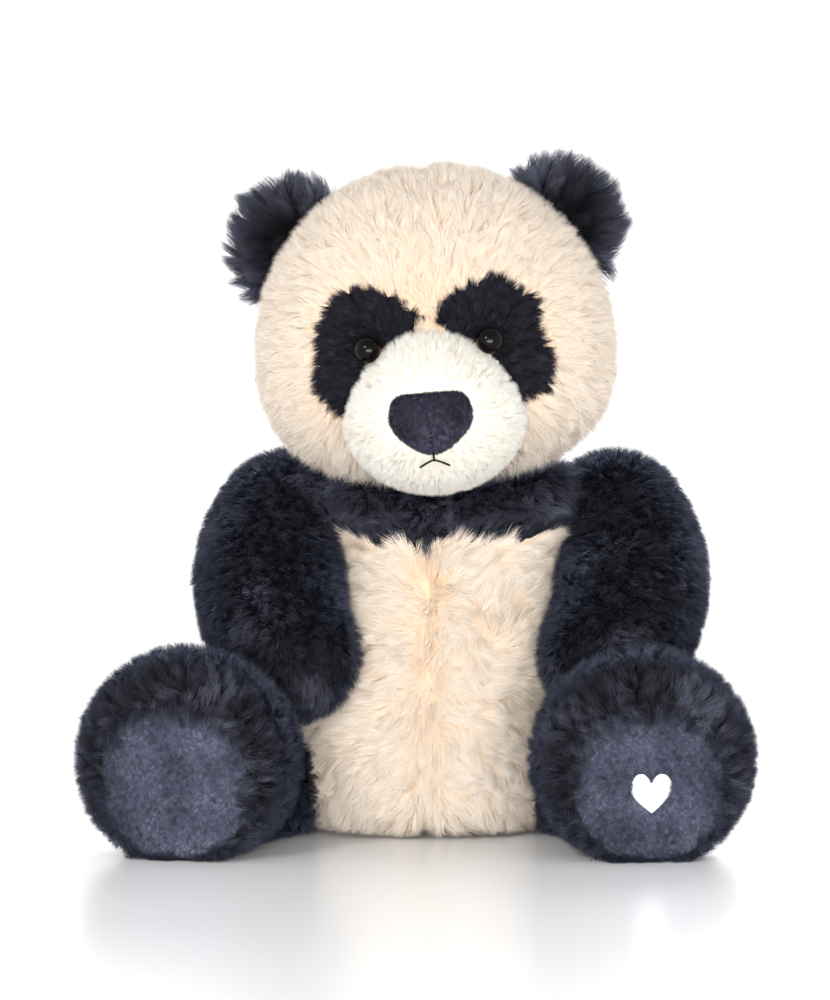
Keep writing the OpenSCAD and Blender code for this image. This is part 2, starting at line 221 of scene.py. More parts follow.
def add_world():
    """A white studio, bright all round and dimmer overhead."""
    world = bpy.data.worlds.new("studio")
    world.use_nodes = True
    tree = world.node_tree
    background = tree.nodes["Background"]
    place = tree.nodes.new("ShaderNodeTexCoord")
    split = tree.nodes.new("ShaderNodeSeparateXYZ")
    tree.links.new(place.outputs["Generated"], split.inputs["Vector"])
    sky = colour_ramp(tree, split.outputs["Z"], [(0.0, (1, 1, 1)), (0.25, (1, 1, 1)),
                                                 (0.8, (0.5, 0.51, 0.53))])
    tree.links.new(sky, background.inputs["Color"])
    background.inputs["Strength"].default_value = 1.22
    SCENE.world = world


def add_floor():
    bpy.ops.mesh.primitive_plane_add(size=5.2)
    floor = bpy.context.object
    floor.name = "floor"
    white, _, _ = new_material("floor_white", {"Base Color": (0.99, 0.99, 0.99, 1),
                                               "Roughness": 0.25})
    floor.data.materials.append(white)


# ---- Materials ----

def new_material(name, sockets):
    """A material whose shader has constant values on some of its sockets."""
    material = bpy.data.materials.new(name)
    material.use_nodes = True
    tree = material.node_tree
    shader = tree.nodes["Principled BSDF"]
    for socket, value in sockets.items():
        shader.inputs[socket].default_value = value
    return material, tree, shader


def attribute(tree, name):
    node = tree.nodes.new("ShaderNodeAttribute")
    node.attribute_name = name
    return node.outputs["Fac"]


def colour_ramp(tree, factor, stops):
    node = tree.nodes.new("ShaderNodeValToRGB")
    ramp = node.color_ramp
    while len(ramp.elements) < len(stops):
        ramp.elements.new(0.5)
    for element, (place, colour) in zip(ramp.elements, stops):
        element.position = place
        element.color = (*colour, 1)
    tree.links.new(factor, node.inputs["Fac"])
    return node.outputs["Color"]


def mix_colours(tree, factor, first, second, mode="MIX"):
    node = tree.nodes.new("ShaderNodeMix")
    node.data_type = "RGBA"
    node.blend_type = mode
    for socket, value in (("Factor", factor), ("A", first), ("B", second)):
        target = next(s for s in node.inputs if s.name == socket and s.enabled)
        if isinstance(value, (int, float)):
            target.default_value = value
        elif isinstance(value, tuple):
            target.default_value = (*value, 1)
        else:
            tree.links.new(value, target)
    return next(s for s in node.outputs if s.enabled)


def noise(tree, scale, detail):
    place = tree.nodes.new("ShaderNodeTexCoord")
    node = tree.nodes.new("ShaderNodeTexNoise")
    node.inputs["Scale"].default_value = scale
    node.inputs["Detail"].default_value = detail
    tree.links.new(place.outputs["Object"], node.inputs["Vector"])
    return node.outputs["Fac"]


def bump(tree, shader, height, strength, distance):
    node = tree.nodes.new("ShaderNodeBump")
    node.inputs["Strength"].default_value = strength
    node.inputs["Distance"].default_value = distance
    tree.links.new(height, node.inputs["Height"])
    tree.links.new(node.outputs["Normal"], shader.inputs["Normal"])


def pile_material(name, root, middle, tip, tinted, sheen, dark_tuft, roughness=0.7, shine=0.25):
    """Fibres that lighten from root to tip, tuft by tuft, with a second colour where tinted. The darker
    roots are painted shade deep in the pile, and the lighter tips of dark pile are a painted sheen.
    """
    material, tree, shader = new_material(name, {
        "Roughness": roughness, "Specular IOR Level": shine, "Sheen Weight": sheen[0],
        "Sheen Roughness": 0.4, "Sheen Tint": (*sheen[1], 1)})
    # Root to tip: painted shade at the roots, and on dark pile a painted sheen at the tips.
    along = colour_ramp(tree, attribute(tree, "along"), [(0.0, root), (0.45, middle), (1.0, tip)])
    shade = colour_ramp(tree, attribute(tree, "tone"),
                        [(0.0, (dark_tuft, dark_tuft, dark_tuft)), (1.0, (1.0, 1.0, 1.0))])
    colour = mix_colours(tree, 1.0, along, shade, "MULTIPLY")
    colour = mix_colours(tree, attribute(tree, "tint"), colour, tinted)
    tree.links.new(colour, shader.inputs["Base Color"])
    return material


def mottled_material(name, stops, mottle, pits, bumps, sockets):
    """Shades mixed by noise, over a fine bump.

    mottle and pits are the scale and detail of the noise behind the shades and the bump, and
    bumps is the bump's strength and distance.
    """
    material, tree, shader = new_material(name, sockets)
    colour = colour_ramp(tree, noise(tree, *mottle), stops)
    tree.links.new(colour, shader.inputs["Base Color"])
    bump(tree, shader, noise(tree, *pits), *bumps)
    return material


def cloth_material(name, dark, light, roughness=0.9, grain=900.0):
    """Knitted backing cloth or velour: mottled, with a fine bump."""
    return mottled_material(name, [(0.3, dark), (0.7, light)], (grain / 6, 4.0), (grain, 3.0),
                            (0.5, 0.0005), {"Roughness": roughness, "Specular IOR Level": 0.1})


CREAM_SHEEN = (0.15, (1.0, 0.97, 0.92))
BLACK_SHEEN = (0.42, (0.34, 0.38, 0.56))
# Each pile's darker root colour is painted shade. The lighter tips and second colours of the black
# piles and velours are painted sheen and glints.
PILES = {
    "cream_plush": pile_material("cream_pile", (0.85, 0.68, 0.50), (0.865, 0.745, 0.61),
                                 (0.88, 0.795, 0.70), (0.89, 0.63, 0.41), CREAM_SHEEN, 0.86),
    "black_plush": pile_material("black_pile", (0.001, 0.001, 0.0016), (0.004, 0.004, 0.006),
                                 (0.022, 0.022, 0.030), (0.125, 0.130, 0.182), BLACK_SHEEN,
                                 0.45, shine=0.08),
    "black_short_plush": pile_material("patch_pile", (0.001, 0.001, 0.002), (0.003, 0.0028, 0.004),
                                       (0.016, 0.014, 0.021), (0.04, 0.04, 0.06),
                                       (0.25, (0.40, 0.38, 0.50)), 0.6, shine=0.08),
    "ivory_plush": pile_material("ivory_pile", (0.88, 0.80, 0.66), (0.92, 0.88, 0.79),
                                 (0.935, 0.915, 0.86), (0.92, 0.80, 0.60), CREAM_SHEEN, 0.9),
    "velour": pile_material("velour_nap", (0.028, 0.031, 0.047), (0.055, 0.061, 0.089),
                            (0.092, 0.100, 0.143), (0.17, 0.182, 0.25),
                            (0.35, (0.55, 0.60, 0.85)), 0.35, 0.8, shine=0.1),
    "nose_velour": pile_material("nose_nap", (0.010, 0.010, 0.015), (0.022, 0.022, 0.034),
                                 (0.042, 0.042, 0.064), (0.10, 0.10, 0.145),
                                 (0.25, (0.55, 0.55, 0.75)), 0.3, 0.8, shine=0.1),
}
CLOTHS = {
    "cream_plush": cloth_material("cream_backing", (0.86, 0.66, 0.46), (0.92, 0.74, 0.55)),
    "black_plush": cloth_material("black_backing", (0.001, 0.001, 0.002), (0.003, 0.003, 0.004)),
    "black_short_plush": cloth_material("patch_backing", (0.001, 0.001, 0.002),
                                        (0.003, 0.003, 0.004)),
    "ivory_plush": cloth_material("ivory_backing", (0.88, 0.80, 0.64), (0.93, 0.88, 0.74)),
    "velour": cloth_material("velour_backing", (0.030, 0.034, 0.056), (0.055, 0.062, 0.100)),
    "nose_velour": cloth_material("nose_backing", (0.014, 0.014, 0.024), (0.026, 0.026, 0.044)),
}


# ---- Soft bases: each filled part, inflated ----

def link(obj):
    SCENE.collection.objects.link(obj)
    return obj


def joined(name, nodes):
    """A new mesh object that holds copies of CAD nodes' meshes."""
    build = bmesh.new()
    for node in nodes:
        build.from_mesh(NODES[node].data)
    mesh = bpy.data.meshes.new(name)
    build.to_mesh(mesh)
    build.free()
    return link(bpy.data.objects.new(name, mesh))


def new_object(name, points, faces):
    """A smooth mesh object of its own points and faces."""
    mesh = bpy.data.meshes.new(name)
    mesh.from_pydata(points, [], faces)
    mesh.polygons.foreach_set("use_smooth", np.ones(len(faces), bool))
    return link(bpy.data.objects.new(name, mesh))


def bake_modifiers(obj):
    """Replaces the mesh with what its modifiers make of it."""
    graph = bpy.context.evaluated_depsgraph_get()
    mesh = bpy.data.meshes.new_from_object(obj.evaluated_get(graph))
    obj.modifiers.clear()
    obj.data = mesh


def remesh(obj, voxel):
    modifier = obj.modifiers.new("remesh", "REMESH")
    modifier.mode = "VOXEL"
    modifier.voxel_size = voxel
    bake_modifiers(obj)


def smooth(obj, rounds):
    modifier = obj.modifiers.new("smooth", "SMOOTH")
    modifier.iterations = rounds
    modifier.factor = 0.5
    bake_modifiers(obj)


def set_positions(mesh, points):
    mesh.vertices.foreach_set("co", np.asarray(points, float).ravel())
    mesh.update()


def vertex_normals(mesh):
    flat = np.empty(len(mesh.vertices) * 3)
    mesh.vertex_normals.foreach_get("vector", flat)
    return flat.reshape(-1, 3)


def inflate(obj, pressure, cap):
    """Blows the closed mesh up as cloth, with each point moving at most cap."""
    start = positions(obj.data)
    cloth = obj.modifiers.new("cloth", "CLOTH")
    settings = cloth.settings
    settings.use_pressure = True
    settings.uniform_pressure_force = pressure
    settings.effector_weights.gravity = 0
    settings.tension_stiffness = 20
    settings.compression_stiffness = 20
    for step in range(1, CLOTH_FRAMES + 1):
        SCENE.frame_set(step)
    bake_modifiers(obj)
    SCENE.frame_set(1)
    move = positions(obj.data) - start
    length = np.linalg.norm(move, axis=1, keepdims=True)
    set_positions(obj.data, start + move * np.minimum(1, cap / np.maximum(length, 1e-9)))


def fit(obj, panels, inset, matrix):
    """Scales a base so that it fills the box of its panels, less the inset, in a frame."""
    low, high = local_box(panels, matrix)
    points = in_frame_of(matrix, positions(obj.data))
    old_low, old_high = points.min(0), points.max(0)
    share = (points - old_low) / (old_high - old_low)
    set_positions(obj.data, out_of(matrix, low + inset + share * (high - low - 2 * inset)))


def soft_base(name, nodes, panels, inset, body, matrix=UPRIGHT, voxel=4.5 * MM, cap=2.5 * MM):
    """One stuffed form: the CAD filling rounded by a cloth simulation, just inside its panels."""
    obj = joined(name, nodes)
    remesh(obj, voxel)
    smooth(obj, 4)
    inflate(obj, 4.0, cap)
    smooth(obj, 2)
    subdivide = obj.modifiers.new("round", "SUBSURF")
    subdivide.levels = 1
    bake_modifiers(obj)
    fit(obj, panels, inset, matrix)
    obj.data.polygons.foreach_set("use_smooth", np.ones(len(obj.data.polygons), bool))
    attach(obj, body)
    return obj


def tree_of(points):
    """A tree that finds the nearest of some points."""
    tree = KDTree(len(points))
    for k, point in enumerate(points):
        tree.insert(point, k)
    tree.balance()
    return tree


class Skin:
    """A base's triangles, each with the CAD panel that lies over it."""

    def __init__(self, obj, panels, favour):
        """favour holds how much further than its own edge a panel reaches."""
        mesh = obj.data
        mesh.calc_loop_triangles()
        count = len(mesh.loop_triangles)
        corners = np.empty(count * 3, np.int32)
        mesh.loop_triangles.foreach_get("vertices", corners)
        corners = corners.reshape(-1, 3)
        faces = np.empty(count, np.int32)
        mesh.loop_triangles.foreach_get("polygon_index", faces)
        self.points = positions(mesh)[corners]
        self.normals = vertex_normals(mesh)[corners]
        a, b, c = self.points.transpose(1, 0, 2)
        self.area = lengths(np.cross(b - a, c - a)) / 2
        trees = {node: BVHTree.FromPolygons([v.co for v in NODES[node].data.vertices],
                                            [p.vertices for p in NODES[node].data.polygons])
                 for node in panels}
        owner = []
        for polygon in mesh.polygons:
            found = [(tree.find_nearest(polygon.center)[3] - favour.get(node, 0), k)
                     for k, (node, tree) in enumerate(trees.items())]
            owner.append(min(found)[1])
        self.panels = list(panels)
        self.face_owner = self.evened(mesh, np.array(owner))
        self.owner = self.face_owner[faces]

    def evened(self, mesh, owner):
        """Gives each face to the panel that most of its neighbours belong to."""
        centres = [polygon.center for polygon in mesh.polygons]
        tree = tree_of(centres)
        near = np.array([[found[1] for found in tree.find_n(centre, VOTERS)] for centre in centres])
        for _ in range(2):
            votes = np.stack([(owner[near] == k).sum(1) for k in range(len(self.panels))])
            owner = votes.argmax(0)
        return owner

    def of(self, panel):
        return np.flatnonzero(self.owner == self.panels.index(panel))

    def sample(self, triangles, count, rng):
        """Random points with their normals, spread evenly over the triangles."""
        share = self.area[triangles]
        pick = triangles[rng.choice(len(triangles), size=count, p=share / share.sum())]
        a = np.sqrt(rng.random(count))[:, None]
        b = rng.random(count)[:, None]
        weights = np.stack([1 - a, a * (1 - b), a * b], 1)
        place = (self.points[pick] * weights).sum(1)
        normal = unit((self.normals[pick] * weights).sum(1))
        return place, normal


def dressed(obj, material, body, node=None):
    """Gives a piece its material, puts it on the body it rides on, and hides the CAD part it stands
    for.
    """
    obj.data.materials.append(material)
    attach(obj, body)
    if node:
        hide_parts(node)


def covered(base, panels, stands_for=None, favour=None):
    """Gives a base the backing cloth of the panels over it, and returns its skin.

    panels holds each panel's kind of plush, and favour is as for a Skin.
    """
    if stands_for:
        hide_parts(stands_for)
    skin = Skin(base, panels, favour or {})
    names = sorted(set(panels.values()))
    for name in names:
        base.data.materials.append(CLOTHS[name])
    index = np.array([names.index(panels[panel]) for panel in skin.panels], np.int32)
    base.data.polygons.foreach_set("material_index", index[skin.face_owner])
    return skin


# ---- Fibres ----

@dataclass
class Look:
    """How one kind of pile grows. Lengths are in metres and densities per square metre."""
    density: float
    length: float
    width: float
    lean: float             # angle from upright, in radians
    tuft: float             # distance between tufts
    pull: float = 0.35      # how far a tip goes towards its tuft's tip
    wander: float = 0.35    # how far the comb direction swings, in radians
    sweep: float = 16 * MM  # size of those swings
    stray: float = 0.35     # how far one fibre strays from it
    bend: float = 0.3       # how much a fibre droops over its length
    tips: float = 0.0       # how much the second colour keeps to the tips
    contrast: float = 1.0   # how much tufts differ in shade


STEPS = np.array([0.0, 0.55, 1.0])  # places along a fibre where it has a corner


def curves(root, normal, comb, length, lean, bend):
    """Points along fibres that rise off the skin and bend over the way they are combed."""
    length = length[:, None]
    lean = lean[:, None]
    rise = np.cos(lean)
    run = np.sin(lean)
    return np.stack([root + length * (normal * (rise * s - bend * 0.5 * s * s)
                                      + comb * (run * s + bend * 0.6 * s * s))
                     for s in STEPS], 1)


def combed(look, flow, place, normal, seed):
    """The flow laid along the skin, with swings to both sides."""
    way = flow(place)
    way = unit(way - normal * dot(way, normal))
    return turned(way, normal, look.wander * ripple(place, look.sweep, seed)
                  + look.wander * 0.5 * ripple(place, look.sweep * 0.4, seed + 1))


def fibre_mesh(name, lines, normal, side, half_width, attributes):
    """Tapering ribbons, one for each line of points, with the normals of the pile's surface."""
    count, steps = lines.shape[:2]
    per = 2 * (steps - 1) + 1
    taper = np.linspace(1.0, 0.45, steps - 1)
    verts = np.empty((count, per, 3))
    for k in range(steps - 1):
        across = side * half_width[:, None] * taper[k]
        verts[:, 2 * k] = lines[:, k] - across
        verts[:, 2 * k + 1] = lines[:, k] + across
    verts[:, -1] = lines[:, -1]
    verts[:, :, 2] = np.maximum(verts[:, :, 2], PILE_CLEAR)
    first = np.arange(count)[:, None] * per
    quads = [first + 2 * k + np.array([[0, 1, 3, 2]]) for k in range(steps - 2)]
    tips = first + 2 * (steps - 2) + np.array([[0, 1, 2]])
    loops = np.concatenate([np.concatenate(quads, 1), tips], 1)
    sizes = np.tile([4] * (steps - 2) + [3], count)
    starts = np.concatenate([[0], np.cumsum(sizes)[:-1]])
    mesh = bpy.data.meshes.new(name)
    mesh.vertices.add(count * per)
    mesh.vertices.foreach_set("co", verts.ravel())
    mesh.loops.add(loops.size)
    mesh.loops.foreach_set("vertex_index", loops.ravel().astype(np.int32))
    mesh.polygons.add(len(sizes))
    mesh.polygons.foreach_set("loop_start", starts.astype(np.int32))
    mesh.polygons.foreach_set("use_smooth", np.ones(len(sizes), bool))
    mesh.update(calc_edges=True)
    step_of = np.minimum(np.arange(per) // 2, steps - 1)
    for key, values in attributes.items():
        layer = mesh.attributes.new(key, "FLOAT", "POINT")
        data = values[:, step_of] if values.ndim == 2 else np.repeat(values[:, None], per, 1)
        layer.data.foreach_set("value", data.ravel().astype(np.float32))
    mesh.normals_split_custom_set_from_vertices(normal[:, step_of].reshape(-1, 3))
    return link(bpy.data.objects.new(name, mesh))


def facing(lines, outward, spread, rng):
    """Which way each ribbon is wide, so that its face looks outwards, and that face's normal."""
    direction = unit(lines[:, -1] - lines[:, 0])
    side = unit(np.cross(direction, outward + spread * rng.normal(size=outward.shape)))
    side = np.where(dot(np.cross(side, direction), outward) > 0, side, -side)
    return side, np.cross(side, direction)


def grow(name, skin, triangles, look, flow, seed, pile, body, node=None, slot=None, shape=None,
         tint=None):
    """The pile on some of a skin's triangles, as one piece that stands for a CAD panel.

    flow gives the way it is combed, shape its share of the full length, and tint how much of the
    second colour it has, each at the given points. slot is not used.
    """
    rng = np.random.default_rng(seed)
    area = skin.area[triangles].sum()
    tufts = max(8, int(area / look.tuft ** 2))
    centre, centre_normal = skin.sample(triangles, tufts, rng)
    count = max(60, int(area * look.density * DETAIL))
    place, normal = skin.sample(triangles, count, rng)
    scale = shape(place) if shape else np.ones(count)
    keep = scale > SHORTEST
    place, normal, scale = place[keep], normal[keep], scale[keep]
    count = len(place)
    tree = tree_of(centre)
    nearest = np.array([tree.find(point)[1] for point in place])
    turn = rng.normal(0, look.stray, tufts)
    comb = combed(look, flow, place, normal, seed)
    comb = turned(comb, normal, 0.5 * rng.normal(0, look.stray, count) + turn[nearest])
    centre_comb = turned(combed(look, flow, centre, centre_normal, seed), centre_normal, turn)
    tuft_lean = look.lean + rng.normal(0, LEAN_SPREAD, tufts)
    lean = tuft_lean[nearest] + rng.normal(0, LEAN_SPREAD, count)
    length = look.length * scale * rng.uniform(0.72, 1.08, count)
    tuft_length = look.length * (shape(centre) if shape else 1.0) * rng.uniform(0.85, 1.1, tufts)
    own = curves(place, normal, comb, length, lean, look.bend)
    middle = curves(centre, centre_normal, centre_comb, tuft_length, tuft_lean, look.bend)[nearest]
    weight = (look.pull * rng.uniform(0.4, 1.2, count))[:, None] * STEPS ** 1.5
    lines = own + (middle - own) * weight[:, :, None]
    side, face = facing(lines, normal, 0.5, rng)
    outward = (own - middle) / look.tuft
    shading = unit(normal[:, None] + 0.45 * outward + 0.25 * face[:, None])
    width = look.width * rng.uniform(0.7, 1.25, count)
    tone = 0.2 * rng.normal(size=tufts)[nearest] + 0.14 * rng.normal(size=count)
    tone = clamp(0.5 + look.contrast * tone)
    tinted = tint(place, tone) if tint else np.zeros(count)
    tinted = tinted[:, None] * (1 - look.tips + look.tips * STEPS)
    piece = fibre_mesh(name, lines, shading, side, width / 2,
                       {"along": np.tile(STEPS, (count, 1)), "tone": tone,
                        "tint": clamp(tinted)})
    dressed(piece, PILES[pile], body, node)


def grow_each(skin, panels, look, flow, seed, pile, body, **rest):
    """The pile on each of some panels, as pieces named after them."""
    for k, panel in enumerate(panels):
        grow(f"{panel}_fur", skin, skin.of(panel), look, flow, seed + k, pile, body, panel, **rest)


FACE_PILE = Look(density=5.2e6, length=8.5 * MM, width=0.30 * MM, lean=0.5, tuft=2.4 * MM,
                 pull=0.22, stray=0.5)
BACK_PILE = Look(density=2.8e6, length=9 * MM, width=0.40 * MM, lean=0.55, tuft=2.8 * MM, pull=0.25,
                 stray=0.45)
DARK_PILE = Look(density=5.2e6, length=8 * MM, width=0.28 * MM, lean=0.45, tuft=2.0 * MM, pull=0.2,
                 stray=0.5, tips=1.0, contrast=0.8)
BELLY_PILE = Look(density=5.0e6, length=10 * MM, width=0.28 * MM, lean=0.72, tuft=2.8 * MM,
                  wander=0.5, stray=0.5)
YOKE_PILE = Look(density=5.0e6, length=8 * MM, width=0.30 * MM, lean=0.6, tuft=2.4 * MM, pull=0.25,
                 tips=1.0)
EAR_PILE = Look(density=4.8e6, length=13.5 * MM, width=0.32 * MM, lean=0.6, tuft=4.2 * MM, pull=0.75,
                tips=1.0)
FOOT_PILE = Look(density=4.6e6, length=9.5 * MM, width=0.30 * MM, lean=0.5, tuft=2.8 * MM, pull=0.4,
                 stray=0.45, tips=1.0)
PATCH_PILE = Look(density=8.0e6, length=5.6 * MM, width=0.28 * MM, lean=0.55, tuft=2.0 * MM, pull=0.2,
                  stray=0.5, tips=1.0)
MUZZLE_PILE = Look(density=8.5e6, length=5.6 * MM, width=0.26 * MM, lean=0.5, tuft=1.8 * MM,
                   pull=0.25, wander=0.25, sweep=8 * MM, stray=0.45)
HIDDEN_PILE = Look(density=2.0e6, length=8 * MM, width=0.5 * MM, lean=0.8, tuft=3 * MM, tips=1.0)
SEAT_PILE = Look(density=0.8e6, length=5 * MM, width=0.5 * MM, lean=1.3, tuft=4 * MM)
NAP = Look(density=1.3e7, length=1.3 * MM, width=0.22 * MM, lean=0.6, tuft=1.3 * MM, pull=0.3,
           wander=0.5, stray=0.6, contrast=1.5)


# ---- Head ----

def groove(obj, matrix, where, depth):
    """Pulls a base in along a seam. where gives the share of the depth at local points."""
    points = positions(obj.data)
    normals = vertex_normals(obj.data)
    local = in_frame_of(matrix, points)
    set_positions(obj.data, points - normals * (where(local) * depth)[:, None])


def mirrored(local):
    """Local points with their X made positive, so that both sides share one formula."""
    return np.stack([np.abs(local[:, 0]), local[:, 1], local[:, 2]], 1)


PATCH_LOW, PATCH_HIGH = local_box(["eye_patch_left"], HEAD)


def near_patch(local):
    """How close points are to the edge of an eye patch, and the way that leads away from it."""
    from_middle = mirrored(local) - (PATCH_LOW + PATCH_HIGH) / 2
    flat = from_middle / ((PATCH_HIGH - PATCH_LOW) / 2)
    flat[:, 1] = 0
    close = bell((lengths(flat) - 0.95) / 0.3) * (local[:, 1] < -15 * MM)
    from_middle[:, 0] *= np.sign(local[:, 0])
    from_middle[:, 1] = 0
    return close[:, None], unit(from_middle)


def head_flow(points):
    """Out from between the eyes, away from the patches, and hanging at the back and on the cheeks."""
    local = in_frame_of(HEAD, points)
    away = unit(local - mm(0, -66, 0))
    side = clamp(np.abs(local[:, :1]) / (60 * MM))
    back = clamp((local[:, 1:2] + 10 * MM) / (60 * MM))
    close, off_patch = near_patch(local)
    return turned_by(HEAD, away + np.array([0, 0.1, -1.0]) * (0.3 * side + 1.2 * back)
                     + np.array([0, -0.3, -1.2]) * jaw(local)[:, None] + 1.8 * close * off_patch)


def jaw(local):
    """How far under the cheeks and chin points are, from 0 to 1."""
    return (clamp((-local[:, 2] - 16 * MM) / (24 * MM))
            * clamp((20 * MM - local[:, 1]) / (20 * MM)))


def off_eyes(points):
    """No pile under an eye, and short pile against its rim."""
    reach = lengths(mirrored(in_frame_of(HEAD, points)) - (EYE_TIP + [0, EYE_R, 0]))
    return clamp((reach - EYE_R) / (8 * MM))


def face_length(points):
    """Shorter between the brows, over the crown's seam and by the patches, longer on the cheeks."""
    local = mirrored(in_frame_of(HEAD, points))
    brow = lengths((local - mm(0, -60, 14)) / mm(16, 30, 18))
    crown = bell(local[:, 0] / (3 * MM)) * clamp(local[:, 2] / (70 * MM))
    close, _ = near_patch(local)
    return (off_eyes(points) * (1 - 0.3 * bell(brow)) * (1 - 0.25 * crown)
            * (1 - 0.4 * close[:, 0]) * (1 + 0.75 * jaw(local)))


def face_tint(points, tone):
    """Warm shading round the eye patches and between the brows, and faint blotches."""
    local = mirrored(in_frame_of(HEAD, points))
    patch = (local - mm(24, -57, 0)) / mm(24, 40, 28)
    rim = np.exp(-(lengths(patch) - 0.85) ** 2 * 9)
    brow = bell(lengths((local - mm(0, -62, 20)) / mm(20, 40, 22)))
    front = clamp(-local[:, 1] / (40 * MM))
    blotch = 0.5 + 0.5 * ripple(points, 14 * MM, 3)
    return front * (0.30 * rim + 0.38 * brow) * (0.4 + tone) + 0.10 * clamp(blotch)


def patch_flow(points):
    """Out from the eye and a little down."""
    local = in_frame_of(HEAD, points)
    inner = np.where(local[:, :1] > 0, 1, -1) * np.array([14, 0, 0]) * MM
    away = local - inner - mm(0, -50, 0)
    return turned_by(HEAD, unit(away) + np.array([0, 0, -0.15]))


def crown_seam(local):
    """The dent where the two halves of the head meet, deepest at the crown."""
    return (bell(local[:, 0] / (4.5 * MM))
            * clamp((local[:, 2] - 20 * MM) / (50 * MM)))


def make_head():
    skins = [f"head_{part}_{side}" for part in ("side", "back") for side in ("left", "right")]
    base = soft_base("head_filling", ["head_stuffing"], skins, 3.5 * MM, "head", HEAD)
    groove(base, HEAD, crown_seam, 2.5 * MM)
    panels = {"head_side_left": "cream_plush", "head_side_right": "cream_plush",
              "head_back_left": "cream_plush", "head_back_right": "cream_plush",
              "eye_patch_left": "black_short_plush", "eye_patch_right": "black_short_plush",
              "neck_stuffing": "cream_plush", "muzzle_stuffing": "ivory_plush"}
    skin = covered(base, panels, "head_stuffing",
                   {"eye_patch_left": 0.02 * MM, "eye_patch_right": 0.03 * MM})
    for k, side in enumerate(("left", "right")):
        grow(f"face_fur_{side}", skin, skin.of(f"head_side_{side}"), FACE_PILE, head_flow, 11 + k,
             "cream_plush", "head", f"head_side_{side}", tint=face_tint, shape=face_length)
        grow(f"head_back_fur_{side}", skin, skin.of(f"head_back_{side}"), BACK_PILE, head_flow,
             21 + k, "cream_plush", "head", f"head_back_{side}", tint=blotches)
        grow(f"eye_patch_fur_{side}", skin, skin.of(f"eye_patch_{side}"), PATCH_PILE, patch_flow,
             31 + k, "black_short_plush", "head", f"eye_patch_{side}", shape=off_eyes, tint=glint_flecks)


def muzzle_flow(points):
    """Out from the middle of the nose, all the way round."""
    local = in_frame_of(HEAD, points)
    return turned_by(HEAD, local - NOSE_MIDDLE + mm(0, 0, 2))


def off_nose(points):
    """None under the nose, short round it and longer on the cheeks of the muzzle."""
    local = in_frame_of(HEAD, points)
    flat = (local - NOSE_MIDDLE)[:, [0, 2]]
    reach = lengths(flat)
    inside = reach / nose_reach(np.arctan2(flat[:, 1], flat[:, 0]))
    front = local[:, 1] < MUZZLE_MIDDLE[1] - 20 * MM
    return np.where(front, clamp((inside - 0.82) * 1.6), 1.0)


def narrow_bridge(base):
    """Draws the muzzle in towards the brow, so that it is egg-shaped from the front."""
    local = in_frame_of(HEAD, positions(base.data))
    rise = clamp((local[:, 2] - MUZZLE_MIDDLE[2] + 4 * MM) / MUZZLE_HALF[2])
    local[:, 0] *= 1 - 0.24 * rise
    set_positions(base.data, out_of(HEAD, local))


def make_muzzle():
    base = soft_base("muzzle_filling", ["muzzle_stuffing"], ["muzzle_upper", "muzzle_chin"],
                     1.5 * MM, "head", HEAD, voxel=3 * MM, cap=1.5 * MM)
    narrow_bridge(base)
    panels = {"muzzle_upper": "ivory_plush", "muzzle_chin": "ivory_plush"}
    skin = covered(base, panels, "muzzle_stuffing")
    grow_each(skin, panels, MUZZLE_PILE, muzzle_flow, 41, "ivory_plush", "head", shape=off_nose,
              tint=blotches)


def ear_flow(side):
    """Out from the ear's root."""
    low, _ = local_box([f"ear_front_{side}"], HEAD)
    root = np.array([SIGN[side] * 40 * MM, 10 * MM, low[2] + 4 * MM])

    def flow(points):
        return turned_by(HEAD, unit(in_frame_of(HEAD, points) - root))
    return flow


def make_ear(side, seed):
    nodes = [f"ear_front_{side}", f"ear_back_{side}"]
    base = soft_base(f"ear_filling_{side}", nodes, nodes, 2.5 * MM, "head", HEAD, voxel=2.5 * MM,
                     cap=1.5 * MM)
    skin = covered(base, dict.fromkeys(nodes, "black_plush"))
    grow_each(skin, nodes, EAR_PILE, ear_flow(side), seed, "black_plush", "head",
              tint=ear_rim_sheen(side))


def ear_rim_sheen(side):
    """Paler tips towards the ear's rim: a painted sheen along the ear's edges."""
    low, high = local_box([f"ear_front_{side}", f"ear_back_{side}"], HEAD)

    def tint(points, tone):
        flat = ((in_frame_of(HEAD, points) - (low + high) / 2) / ((high - low) / 2))[:, [0, 2]]
        rim = np.clip(lengths(flat) - 0.35, 0, 0.65) / 0.65
        return rim * (0.35 + 0.9 * tone)
    return tint


def blotches(points, tone):
    """A faint change of shade from place to place."""
    return 0.14 * clamp(0.5 + ripple(points, 20 * MM, 9))


def glint_flecks(points, tone):
    """A few lighter fibres among the rest as painted glints, with a little of the second colour
    everywhere.
    """
    return 0.25 + 0.6 * (tone > 0.78)


def brushed_sheen(points, tone):
    """Patches where the dark pile has been brushed up, drawn lighter as a painted sheen, and a few
    lighter fibres as painted glints.
    """
    # Painted sheen in patches, then painted glints on a few fibres.
    patches = clamp(1.3 * (ripple(points, 34 * MM, 5) - 0.3))
    return 0.08 + patches * 0.75 * clamp(tone * 2 - 0.3) + 0.42 * (tone > 0.8)


# ---- Nose, mouth and eyes ----

def muzzle_front(x, z, lift):
    """How far forward the muzzle's pile stands at x and z, in the head's frame."""
    across, depth, height = MUZZLE_HALF + lift
    rise = np.abs(z - MUZZLE_MIDDLE[2]) / height
    return MUZZLE_MIDDLE[1] - depth * np.sqrt(np.maximum(0, 1 - (x / across) ** 2 - rise ** 2.2))


